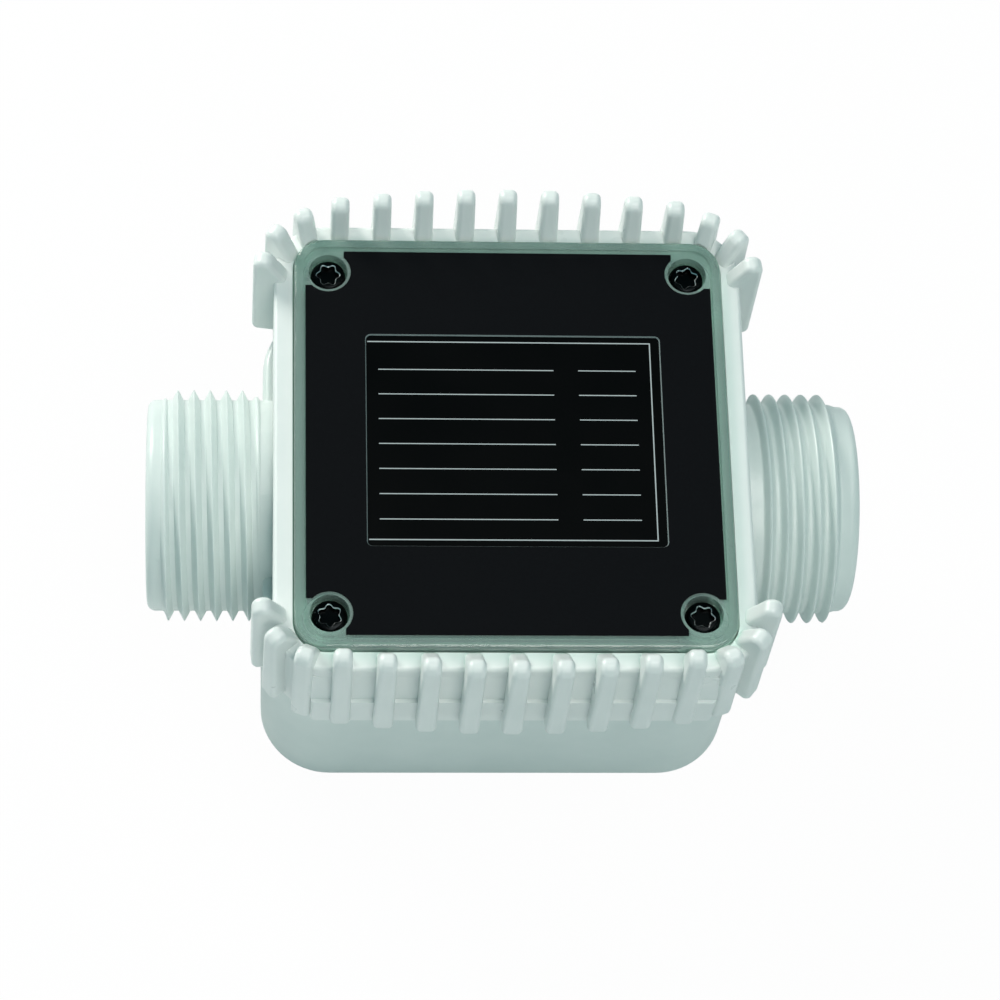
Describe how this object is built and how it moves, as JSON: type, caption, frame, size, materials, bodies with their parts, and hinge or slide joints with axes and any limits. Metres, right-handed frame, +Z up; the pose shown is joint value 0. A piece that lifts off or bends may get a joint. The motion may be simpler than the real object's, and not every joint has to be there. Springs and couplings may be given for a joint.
{
  "type": "turbine flow meter",
  "caption": "Inline turbine flow meter: square finned sensor head with a clear screwed lid on a block with a male threaded port each side and a free-turning rotor in the bore",
  "frame": {"origin": "centre of the flat base, straight under the middle of the flow axis, which is 32 mm above it", "axes": "+X runs with the flow, from the inlet port to the outlet port; +Z is up, out of the lid; +Y completes a right-handed frame and is the side with the cable inlet"},
  "size_m": [0.1009, 0.0759, 0.0597],
  "materials": {
    "body_plastic": "moulded, satin",
    "head_plastic": "moulded, satin",
    "clear_lid": "clear, moulded, glossy",
    "overlay_foil": "printed, fine matte grain",
    "label_black": "smooth, half gloss",
    "blackened_steel": "blackened, satin",
    "stainless_steel": "turned, bright",
    "support_plastic": "moulded, satin",
    "bush_plastic": "filled, smooth",
    "rotor_plastic": "moulded, satin",
    "magnet": "nickel plated",
    "rubber": "moulded",
    "gasket_silicone": "moulded, grey-green",
    "board_laminate": "lacquered laminate",
    "switch_glass": "clear, faint green",
    "tinned_wire": "tinned",
    "connector_nylon": "moulded nylon"
  },
  "bodies": {
    "housing": {"turbine_body": "body_plastic", "head_base": "head_plastic", "head_frame": "head_plastic", "cover": "clear_lid", "front_overlay": "overlay_foil", "label_plate": "label_black", "cover_screws": "blackened_steel", "inlet_straightener": "support_plastic", "outlet_support": "support_plastic", "inlet_bush": "bush_plastic", "outlet_bush": "bush_plastic", "retaining_ring": "stainless_steel", "saddle_pads": "rubber", "head_screws": "stainless_steel", "cover_gasket": "gasket_silicone", "circuit_board": "board_laminate", "reed_switch": "switch_glass", "reed_leads": "tinned_wire", "output_connector": "connector_nylon", "connector_pins": "tinned_wire", "cable_grommet": "rubber"},
    "rotor": {"rotor": "rotor_plastic", "rotor_shaft": "stainless_steel", "rotor_magnets": "magnet"}
  },
  "joints": [
    {"name": "rotor_spin", "type": "hinge", "parent": "housing", "child": "rotor", "pos_m": [0, 0, 0.032], "axis": [1, 0, 0], "continuous": true}
  ]
}
